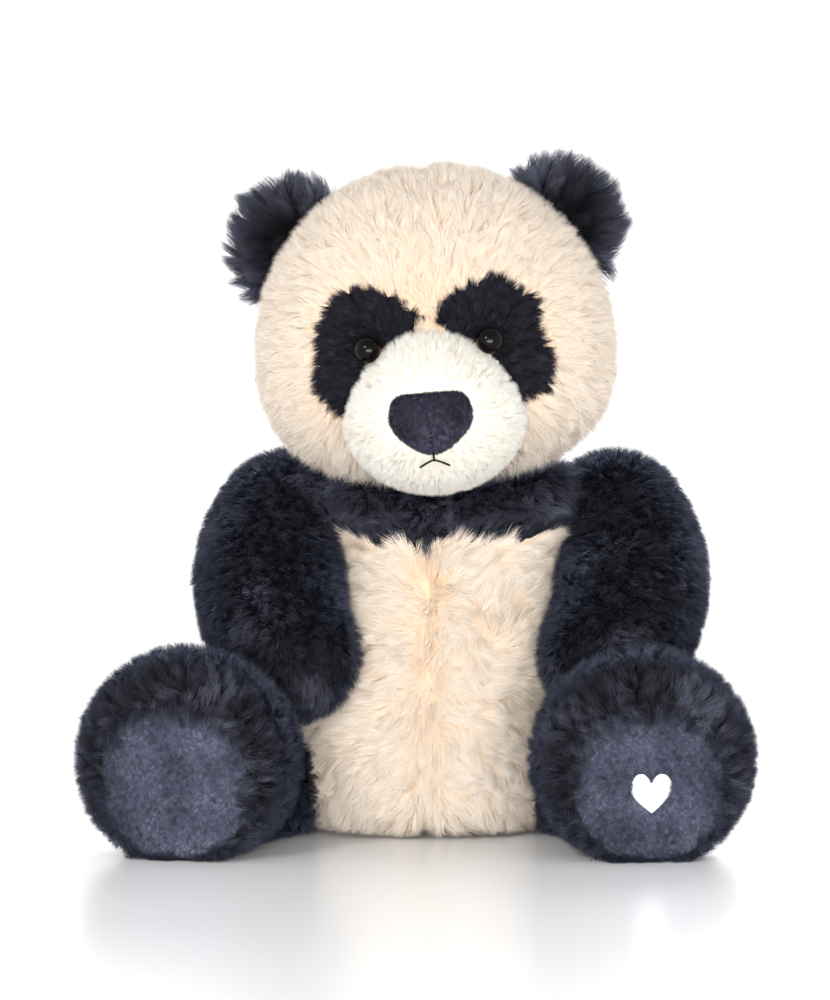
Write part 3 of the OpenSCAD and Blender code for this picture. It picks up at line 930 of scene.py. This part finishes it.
def rounded_outline(sides, power):
    """Distance from the middle to the edge of a polygon with softened corners.

    Each side is the direction that it faces, in degrees, and its distance from the middle, in
    millimetres.
    """
    def reach(angle):
        total = 0
        for bearing, distance in sides:
            facing_it = np.maximum(0, np.cos(angle - math.radians(bearing)))
            total = total + (facing_it / (distance * MM)) ** power
        return total ** (-1 / power)
    return reach


nose_reach = rounded_outline([(90, 12.2), (25, 18.6), (155, 18.6), (-10, 18.2), (190, 18.2),
                              (-50, 13.2), (-130, 13.2), (-90, 13.8)], 7)


def ring_faces(rings, spokes, start=0):
    """Quads from each ring of points to the next."""
    return [(k + i, k + spokes + i, k + spokes + (i + 1) % spokes, k + (i + 1) % spokes)
            for k in range(start, start + (rings - 1) * spokes, spokes) for i in range(spokes)]


def disc_shell(name, edge, front, back, rings, spokes):
    """A closed pillow: front(r, x, z) and back(x, z) give its two faces inside the edge."""
    angles = np.arange(spokes) * math.tau / spokes
    reach = edge(angles)
    verts = []
    for r in np.linspace(0, 1, rings + 1)[1:]:
        x = r * reach * np.cos(angles)
        z = r * reach * np.sin(angles)
        verts.append(np.stack([x, front(r, x, z), z], 1))
    x, z = reach * np.cos(angles), reach * np.sin(angles)
    verts.append(np.stack([x * 0.97, back(x, z), z * 0.97], 1))
    middle = np.array([[0, front(0, np.zeros(1), np.zeros(1))[0], 0]])
    hind = np.array([[0, back(np.zeros(1), np.zeros(1))[0], 0]])
    points = np.concatenate(verts + [middle, hind])
    faces = ring_faces(rings + 1, spokes)
    centre = (rings + 1) * spokes
    faces += [(centre, i, (i + 1) % spokes) for i in range(spokes)]
    faces += [(centre + 1, rings * spokes + (i + 1) % spokes, rings * spokes + i)
              for i in range(spokes)]
    return new_object(name, points.tolist(), faces)


def moved(obj, matrix):
    """Moves the mesh itself, so that the object stays at the origin."""
    obj.data.transform(matrix)
    if matrix.determinant() < 0:
        obj.data.flip_normals()
    obj.data.update()
    return obj


def nose_front(r, x, z):
    """The nose's face, given from its own middle, with a groove down its lower half."""
    puff = 5.5 * MM * np.sqrt(np.maximum(0, 1 - r ** 2.2))
    groove_depth = 0.9 * MM * bell(x / (0.8 * MM)) * clamp(-z / (3 * MM))
    return muzzle_front(x, z + NOSE_MIDDLE[2], -1.5 * MM) - puff + groove_depth


def make_nose():
    def back(x, z):
        return muzzle_front(x, z + NOSE_MIDDLE[2], -4.5 * MM)

    nose = disc_shell("nose_velour", nose_reach, nose_front, back, 22, 96)
    moved(nose, HEAD @ Matrix.Translation((NOSE_MIDDLE[0], 0, NOSE_MIDDLE[2])))
    dressed(nose, CLOTHS["nose_velour"], "head", "nose")
    nap(nose, "nose", "nose_velour", "nose_velour", "head", 51)


def nap(obj, node, pile, slot, body, seed):
    """The very short pile of velour on the front of a small cushion."""
    skin = Skin(obj, [node], {})
    outer = np.flatnonzero(skin.normals.mean(1)[:, 1] < 0.1)
    grow(f"{obj.name}_nap", skin, outer, NAP, down_flow, seed, pile, body, slot=slot,
         tint=velour_sheen)


def velour_sheen(points, tone):
    """Nap pressed this way and that, from place to place, drawn lighter and darker as a painted sheen.
    """
    mottle = 0.2 * ripple(points, 22 * MM, 77) + 0.08 * ripple(points, 3 * MM, 78) + 0.3
    return clamp(mottle) * (0.4 + tone)


def across_path(path):
    """Two directions square to a path and to each other, at each of its points."""
    way = unit(np.gradient(path, axis=0))
    right = unit(np.cross(way, np.array([0.3, 1.0, 0.2])))
    return right, np.cross(right, way)


def round_tube(path, radius, sides):
    """Points and faces of a closed tube along a path, with tapered ends."""
    right, up = across_path(path)
    size = np.full(len(path), radius)
    size[[0, -1]] *= 0.5
    turn = np.arange(sides) * math.tau / sides
    ring = (np.cos(turn)[None, :, None] * right[:, None] + np.sin(turn)[None, :, None] * up[:, None])
    points = (path[:, None] + size[:, None, None] * ring).reshape(-1, 3)
    faces = ring_faces(len(path), sides)
    faces.append(tuple(range(sides)))
    faces.append(tuple((len(path) - 1) * sides + i for i in reversed(range(sides))))
    return points, faces


def merged(name, parts):
    """One mesh object from lists of points and faces."""
    points = []
    faces = []
    for part_points, part_faces in parts:
        start = sum(len(p) for p in points)
        points.append(part_points)
        faces += [tuple(start + i for i in face) for face in part_faces]
    return new_object(name, np.concatenate(points).tolist(), faces)


def twisted(path, radius, twists):
    """Two plies wound round a path."""
    right, up = across_path(path)
    plies = []
    for ply in range(2):
        turn = (np.linspace(0, math.tau * twists, len(path)) + ply * math.pi)[:, None]
        plies.append(round_tube(path + 0.45 * radius * (right * np.cos(turn) + up * np.sin(turn)),
                                0.62 * radius, 8))
    return plies


def make_mouth():
    """The stitches of the mouth, and the row of them down the nose."""
    material = cloth_material("black_thread", (0.004, 0.004, 0.005), (0.012, 0.012, 0.014), 0.6,
                              4000.0)
    low = NOSE_MIDDLE[2] - NOSE_DROP + 0.5 * MM
    t = np.linspace(0, 1, 22)
    paths = {"mouth_middle": (NOSE_MIDDLE[0] + 0 * t, low - 3.6 * MM * t)}
    for name, sign in (("mouth_left", 1), ("mouth_right", -1)):
        paths[name] = (NOSE_MIDDLE[0] + sign * (0.3 + 6.0 * t) * MM,
                       low - (3.2 + 2.9 * t ** 1.2) * MM)
    tubes = {name: twisted(np.stack([x, muzzle_front(x, z, 0) - 0.6 * MM, z], 1), 0.45 * MM, 4)
             for name, (x, z) in paths.items()}
    tubes["nose_stitches"] = []
    for k in range(6):
        z = -(1.6 + 1.9 * (k + 0.55 * np.linspace(0, 1, 7))) * MM
        r = -z / NOSE_DROP
        y = nose_front(r, 0 * z, z) - 1.0 * MM - 0.3 * MM * np.sin(np.linspace(0, math.pi, 7))
        path = np.stack([0 * z, y, z], 1) + [NOSE_MIDDLE[0], 0, NOSE_MIDDLE[2]]
        tubes["nose_stitches"].append(round_tube(path, 0.22 * MM, 6))
    for name, parts in tubes.items():
        piece = merged(name, parts)
        moved(piece, HEAD)
        dressed(piece, material, "head", "face_stitches")


def eye_material():
    """Glossy black plastic, reddish brown along its lower rim: partly the plastic's own colour, partly
    painted light showing through the dome there.
    """
    material, tree, shader = new_material("eye_plastic", {"Specular IOR Level": 0.14,
                                                          "Roughness": 0.04})
    colour = colour_ramp(tree, attribute(tree, "rim"),
                         [(0.0, (0.0012, 0.0012, 0.0012)), (0.90, (0.002, 0.0015, 0.0015)),
                          (0.97, (0.07, 0.014, 0.004)), (1.0, (0.02, 0.005, 0.002))])
    tree.links.new(colour, shader.inputs["Base Color"])
    return material


def make_eye(side, material):
    """A dome with a flat back, set in its patch and turned a little outwards."""
    sign = SIGN[side]
    rings, spokes = 20, 48
    verts = [(0, -EYE_R, 0)]
    rim = [0.0]
    depth = 0.9
    for k in range(1, rings + 1):
        a = k / rings * math.radians(100)
        for i in range(spokes):
            b = math.tau * i / spokes
            r = EYE_R * math.sin(a)
            verts.append((r * math.cos(b), -EYE_R * math.cos(a) * depth - EYE_R * (1 - depth),
                          r * math.sin(b)))
            edge = math.sin(a) if a < math.pi / 2 else 1.0
            # Only the lower rim gets the brown: painted light through the plastic.
            rim.append(edge if math.sin(b) < 0.2 else min(edge, 0.9))
    faces = [(0, 1 + i, 1 + (i + 1) % spokes) for i in range(spokes)]
    faces += ring_faces(rings, spokes, 1)
    last = 1 + (rings - 1) * spokes
    faces.append(tuple(last + i for i in reversed(range(spokes))))
    eye = new_object(f"eye_dome_{side}", verts, faces)
    eye.data.attributes.new("rim", "FLOAT", "POINT").data.foreach_set("value", rim)
    spot = Vector((EYE_TIP[0] * sign, EYE_TIP[1] + EYE_R - 3.4 * MM, EYE_TIP[2]))
    moved(eye, HEAD @ Matrix.Translation(spot) @ Matrix.Rotation(EYE_TURN * sign, 4, "Z"))
    dressed(eye, material, "head", f"eye_{side}")


# ---- Torso ----

BELLY_HEIGHT = 78 * MM          # of the belly's middle
BELLY_WHORL = mm(26, -60, 84)   # the middle of the whorl in its pile
YOKE_RISE = 7 * MM              # how far the yoke's seam climbs
YOKE_REACH = 68 * MM            # over this distance to either side


def belly_flow(points):
    """Out from the middle seam, rising at the top and falling at the foot, with a whorl on the left."""
    side = np.tanh(points[:, 0] / (5 * MM))
    height = np.clip((points[:, 2] - BELLY_HEIGHT) / (50 * MM), -1, 1)
    out = np.stack([side * (1.2 - 0.4 * np.abs(height)), 0 * side, 0.55 * height - 0.25], 1)
    middle = points - BELLY_WHORL
    round_it = np.stack([-middle[:, 2], 0 * side, middle[:, 0]], 1) + 0.6 * middle * [1, 0, 1]
    weight = bell(lengths(middle * [1, 0, 1]) / (22 * MM))[:, None]
    return out * (1 - weight) + unit(round_it) * weight


def yoke_seam(points):
    """How far points lie above the seam between the belly and the yoke."""
    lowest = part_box("chest_yoke")[0].z
    return points[:, 2] - lowest - YOKE_RISE * np.abs(points[:, 0]) / YOKE_REACH


def yoke_flow(points):
    """Down from the neck, and parted to the sides above the seam."""
    low = clamp(1 - yoke_seam(points) / (14 * MM))
    side = np.where(points[:, 0] > 0, 1.0, -1.0)
    point = bell(points[:, 0] / (6 * MM))
    return np.stack([side * low * (1 - point), 0 * side, low * (1 - 2.5 * point) - (1 - low)], 1)


def yoke_length(points):
    """Short against the seam, but for the tuft that hangs at its lowest point."""
    point = bell(points[:, 0] / (6 * MM))
    return np.clip(0.35 + 0.65 * yoke_seam(points) / (10 * MM), 0.35 + 0.6 * point, 1)


def yoke_sheen(points, tone):
    """Brushed up with painted sheen, and a little lighter all over as painted light against the shade
    under the chin.
    """
    return brushed_sheen(points, tone) + 0.22


def down_flow(points):
    return np.tile([0, 0, -1.0], (len(points), 1))


def back_flow(points):
    """Down and a little to the sides."""
    return np.stack([0.3 * np.sign(points[:, 0]), 0 * points[:, 0], -np.ones(len(points))], 1)


def front_seam(local):
    """The seam down the middle of the belly."""
    return (bell(local[:, 0] / (3.5 * MM)) * (local[:, 1] < -20 * MM)
            * clamp((128 * MM - local[:, 2]) / (10 * MM)))


def belly_length(points):
    """Shorter along the seam, and shortest below the yoke's lowest point."""
    seam = 0.15 * bell(points[:, 0] / (3 * MM))
    point = bell(points[:, 0] / (6 * MM)) * clamp(1 + yoke_seam(points) / (10 * MM))
    return (1 - seam) * (1 - 0.6 * point)


def belly_tint(points, tone):
    """A warmer, darker line along the seam and warm hollows here and there, both painted shade, fading
    towards the foot as painted light from the floor.
    """
    # Painted shade along the seam's groove.
    seam = bell(points[:, 0] / (5 * MM))
    # Painted shade of hollows in the pile, from place to place.
    hollow_shade = clamp(ripple(points, 15 * MM, 8) - 0.1)
    # Less tint low down: painted light from the floor.
    floor_light_fade = np.clip((points[:, 2] - 15 * MM) / (45 * MM), 0.2, 1)
    return (0.40 * seam + 0.3 * hollow_shade) * (0.3 + tone) * floor_light_fade


def broaden_shoulders(base):
    """Swells and lifts the chest where the arms are sewn on, as the seams there pull it out."""
    points = positions(base.data)
    middle = JOINTS["head_turn"]["pos_m"][0]
    rise = clamp((points[:, 2] - 108 * MM) / (32 * MM))
    rise = rise * rise * (3 - 2 * rise)
    beside = clamp((np.abs(points[:, 0] - middle) - 12 * MM) / (20 * MM))
    points[:, 0] = middle + (points[:, 0] - middle) * (1 + 0.6 * rise)
    points[:, 2] += 14 * MM * rise * beside
    set_positions(base.data, points)


def make_torso():
    base = soft_base("torso_filling", ["torso_stuffing"], ["chest_yoke", "belly_left", "belly_right",
                     "back_yoke", "back_left", "back_right", "seat_panel"], 3.5 * MM, "torso")
    broaden_shoulders(base)
    rest_on_floor(base)
    groove(base, UPRIGHT, front_seam, 3 * MM)
    panels = {"chest_yoke": "black_plush", "belly_left": "cream_plush", "belly_right": "cream_plush",
              "back_yoke": "black_plush", "back_left": "cream_plush", "back_right": "cream_plush",
              "seat_panel": "cream_plush"}
    skin = covered(base, panels, "torso_stuffing")
    plans = [("chest_yoke", YOKE_PILE, yoke_flow, yoke_sheen, yoke_length),
             ("belly_left", BELLY_PILE, belly_flow, belly_tint, belly_length),
             ("belly_right", BELLY_PILE, belly_flow, belly_tint, belly_length),
             ("back_yoke", BACK_PILE, down_flow, brushed_sheen, None),
             ("back_left", BACK_PILE, back_flow, blotches, None),
             ("back_right", BACK_PILE, back_flow, blotches, None),
             ("seat_panel", SEAT_PILE, down_flow, None, None)]
    for k, (panel, look, flow, tint, shape) in enumerate(plans):
        grow(f"{panel}_fur", skin, skin.of(panel), look, flow, 61 + k, panels[panel], "torso", panel,
             tint=tint, shape=shape)


def make_neck():
    base = soft_base("neck_filling", ["neck_stuffing"], ["neck_collar"], 2 * MM, "neck",
                     voxel=3 * MM, cap=1 * MM)
    skin = covered(base, {"neck_collar": "black_plush"}, "neck_stuffing")
    grow("neck_fur", skin, skin.of("neck_collar"), HIDDEN_PILE, down_flow, 71, "black_plush",
         "neck", "neck_collar")


# ---- Arms and legs ----

def arm_flow(side):
    """Down from the shoulder, and forward along the arm."""
    shoulder = np.array(JOINTS[f"arm_{side}_lift"]["pos_m"])

    def flow(points):
        reach = clamp(lengths(points - shoulder) / (60 * MM))[:, None]
        along = (np.array([SIGN[side] * 0.1, -0.75, -0.7]) * reach
                 + np.array([0, -0.2, -1.0]) * (1 - reach))
        return unit(along) + 0.3 * unit(points - shoulder)
    return flow


def make_arm(side, seed):
    body = f"arm_{side}"
    nodes = [f"arm_outer_{side}", f"arm_inner_{side}"]
    base = soft_base(f"arm_filling_{side}", [f"arm_stuffing_{side}"], nodes, 2.5 * MM, body)
    skin = covered(base, dict.fromkeys(nodes, "black_plush"), f"arm_stuffing_{side}")
    grow_each(skin, nodes, DARK_PILE, arm_flow(side), seed, "black_plush", body, tint=brushed_sheen)


def sole_box(side):
    """How far forward a sole reaches, and its middle, in its leg's frame."""
    low, high = local_box([f"sole_{side}"], LEG[side])
    return low[1], (low + high) / 2


def leg_flow(side):
    """Along the leg towards the foot, then out all round the sole."""
    front, middle = sole_box(side)

    def flow(points):
        local = in_frame_of(LEG[side], points)
        outward = unit((local - middle) * np.array([1, 0, 1]))
        toe = clamp((local[:, 1:2] - front) / (30 * MM))
        return turned_by(LEG[side], np.array([0, -1.0, 0]) * (0.25 + 0.6 * toe)
                         + outward * (1 - 0.5 * toe))
    return flow


def off_sole(side):
    """No pile behind the sole, full pile against its edge, and short pile under the foot."""
    front, middle = sole_box(side)

    def shape(points):
        local = in_frame_of(LEG[side], points)
        flat = (local - middle)[:, [0, 2]]
        inside = lengths(flat) / sole_reach(np.arctan2(flat[:, 1], flat[:, 0]))
        behind_sole = local[:, 1] < front + 12 * MM
        under = local[:, 2] < -22 * MM
        return (np.where(behind_sole, clamp((inside - 0.86) * 12), 1.0)
                * np.where(under, 0.35, 1.0))
    return shape


FOOT_INSET = mm(0.5, 2.0, 1.5)


def make_leg(side, seed):
    body = f"leg_{side}"
    nodes = [f"leg_outer_{side}", f"leg_inner_{side}"]
    base = soft_base(f"leg_filling_{side}", [f"leg_stuffing_{side}"], nodes, FOOT_INSET, body,
                     LEG[side])
    rest_on_floor(base)
    panels = {**dict.fromkeys(nodes, "black_plush"), f"sole_{side}": "velour"}
    skin = covered(base, panels, f"leg_stuffing_{side}")
    grow_each(skin, nodes, FOOT_PILE, leg_flow(side), seed, "black_plush", body, tint=brushed_sheen,
              shape=off_sole(side))
    make_sole(side, seed + 2)
    make_fringe(side, seed + 5)


def rest_on_floor(base):
    """Presses a base flat where it would sink into the floor."""
    points = positions(base.data)
    points[:, 2] = np.maximum(points[:, 2], BASE_CLEAR)
    set_positions(base.data, points)


sole_reach = rounded_outline([(90, 30.5), (0, 30.5), (180, 30.5), (-90, 29.5), (45, 32.5),
                              (135, 32.5), (-45, 31.5), (-135, 31.5)], 12)


def make_sole(side, seed):
    front, middle = sole_box(side)

    def face(r, x, z):
        puff = 6.5 * MM * np.sqrt(np.maximum(0, 1 - r ** 2.6))
        dents = 0.7 * MM * ripple(np.stack([x, 0 * x, z], 1), 16 * MM, seed) * (1 - r)
        return front + 2.5 * MM - puff + dents

    def back(x, z):
        return np.full(len(x), front + 4.5 * MM)

    sole = disc_shell(f"sole_velour_{side}", sole_reach, face, back, 24, 96)
    moved(sole, LEG[side] @ Matrix.Translation((middle[0], 0, middle[2])))
    dressed(sole, CLOTHS["velour"], f"leg_{side}", f"sole_{side}")
    nap(sole, f"sole_{side}", "velour", "sole_velour", f"leg_{side}", seed)


def make_fringe(side, seed):
    """Tufts that stand up all round the sole and fall over its edge."""
    front, middle = sole_box(side)
    rng = np.random.default_rng(seed)
    tufts = 190
    per = max(8, int(50 * DETAIL))
    angle = rng.uniform(0, math.tau, tufts)
    reach = sole_reach(angle) + rng.uniform(-0.5, 3.5, tufts) * MM
    spot = np.stack([reach * np.cos(angle), np.full(tufts, front + 3.5 * MM - middle[1]),
                     reach * np.sin(angle)], 1) + middle
    outward = np.stack([np.cos(angle), 0 * angle, np.sin(angle)], 1)
    along = np.stack([-np.sin(angle), 0 * angle, np.cos(angle)], 1)
    over = rng.normal(0.35, 0.45, tufts) + 0.45 * clamp(np.sin(angle))
    way = unit(np.array([0, -1.0, 0]) - outward * over[:, None]
               + along * rng.normal(0, 0.4, (tufts, 1)))
    tall = rng.uniform(7.5, 12.5, tufts) * MM * np.where(np.sin(angle) > -0.3, 1.0, 0.7)
    pick = np.repeat(np.arange(tufts), per)
    count = len(pick)
    spread = rng.normal(0, 1.5 * MM, (count, 3))
    spread[:, 1] *= 0.3
    root = spot[pick] + spread
    tip = (spot[pick] + way[pick] * (tall[pick] * rng.uniform(0.75, 1.1, count))[:, None]
           + 0.55 * spread)
    bow = np.array([0, 0, 1.0]) * (0.06 * tall[pick])[:, None]
    lines = np.stack([root + (tip - root) * t + bow * 4 * t * (1 - t) for t in STEPS], 1)
    lines = out_of(LEG[side], lines)
    open_side = turned_by(LEG[side], unit(outward[pick] * 0.8 + np.array([0, -0.6, 0])))
    across, _ = facing(lines, open_side, 0.4, rng)
    shading = np.repeat(open_side[:, None], len(STEPS), 1)
    tone = clamp(0.5 + 0.2 * rng.normal(size=tufts)[pick] + 0.12 * rng.normal(size=count))
    piece = fibre_mesh(f"sole_fringe_{side}", lines, shading, across,
                       0.17 * MM * rng.uniform(0.7, 1.2, count),
                       {"along": np.tile(STEPS, (count, 1)), "tone": tone,
                        # Lighter tips on a share of the tufts: a painted sheen on the fringe.
                        "tint": (0.55 * tone + 0.35 * (tone > 0.62))[:, None] * STEPS})
    dressed(piece, PILES["black_plush"], f"leg_{side}")


def make_emblem():
    """A satin-stitched heart on the left sole, standing off the nap."""
    low, high = local_box(["sole_emblem"], LEG["left"])
    middle = (low + high) / 2
    wide, _, tall = (high - low) / 2
    threads = []
    for z in np.linspace(-0.97, 0.97, 44):
        if z > 0.3:
            half = 0.5 * math.sqrt(1 - ((z - 0.3) / 0.7) ** 2)
            spans = [(-0.5 - half, -0.5 + half), (0.5 - half, 0.5 + half)]
            spans = [(-0.5 - half, 0.5 + half)] if half > 0.47 else spans
        else:
            half = math.sin((z + 1) / 1.3 * math.pi / 2) ** 0.9
            spans = [(-half, half)]
        threads += [(left * wide, right * wide, z * tall) for left, right in spans]
    pieces = []
    t = np.linspace(0, 1, 9)
    for left, right, z in threads:
        x = left + (right - left) * t
        y = -1.0 * MM * np.sqrt(np.maximum(0, 1 - (2 * t - 1) ** 4))
        path = np.stack([x, low[1] - middle[1] - 3.6 * MM + y, np.full(len(t), z)], 1) + middle
        pieces.append(round_tube(path, 0.26 * MM, 6))
    emblem = merged("heart_stitches", pieces)
    moved(emblem, LEG["left"])
    dressed(emblem, thread_material(), "leg_left", "sole_emblem")


def thread_material():
    """White rayon thread with a soft shine."""
    return mottled_material("satin_thread", [(0.3, (0.78, 0.79, 0.82)), (0.7, (0.92, 0.93, 0.95))],
                            (900.0, 2.0), (2600.0, 3.0), (0.4, 0.0003),
                            {"Roughness": 0.35, "Sheen Weight": 0.3})


# ---- What is sealed inside ----

def moulded_material(name, dark, light, roughness):
    """Plain moulded plastic, slightly cloudy and finely pitted."""
    return mottled_material(name, [(0.35, dark), (0.65, light)], (260.0, 3.0), (1800.0, 2.0),
                            (0.2, 0.0002), {"Roughness": roughness, "Subsurface Weight": 0.1,
                                            "Subsurface Scale": 0.001})


def dress_inside():
    """Materials for the CAD pieces that no visual piece stands for."""
    washer = moulded_material("washer_plastic", (0.78, 0.78, 0.74), (0.88, 0.88, 0.85), 0.45)
    bead = moulded_material("bean_pellet", (0.76, 0.72, 0.62), (0.88, 0.86, 0.78), 0.35)
    lining = cloth_material("lining_cloth", (0.74, 0.74, 0.72), (0.90, 0.90, 0.88), 0.95, 1400.0)
    for node, material in (("eye_washer_left", washer), ("eye_washer_right", washer),
                           ("pellets", bead), ("pellet_bag", lining)):
        NODES[node].data.materials.clear()
        NODES[node].data.materials.append(material)


# ---- Build: the number given to a maker starts its random draws ----

add_camera()
add_world()
for light_name, light_plan in LIGHTS.items():
    add_area(light_name, *light_plan)
add_floor()
make_head()
make_muzzle()
for number, side_name in enumerate(("left", "right")):
    make_ear(side_name, 81 + 10 * number)
    make_arm(side_name, 101 + 10 * number)
    make_leg(side_name, 121 + 10 * number)
make_nose()
make_mouth()
shiny = eye_material()
for side_name in ("left", "right"):
    make_eye(side_name, shiny)
make_torso()
make_neck()
make_emblem()
dress_inside()

SCENE.view_settings.view_transform = "Standard"
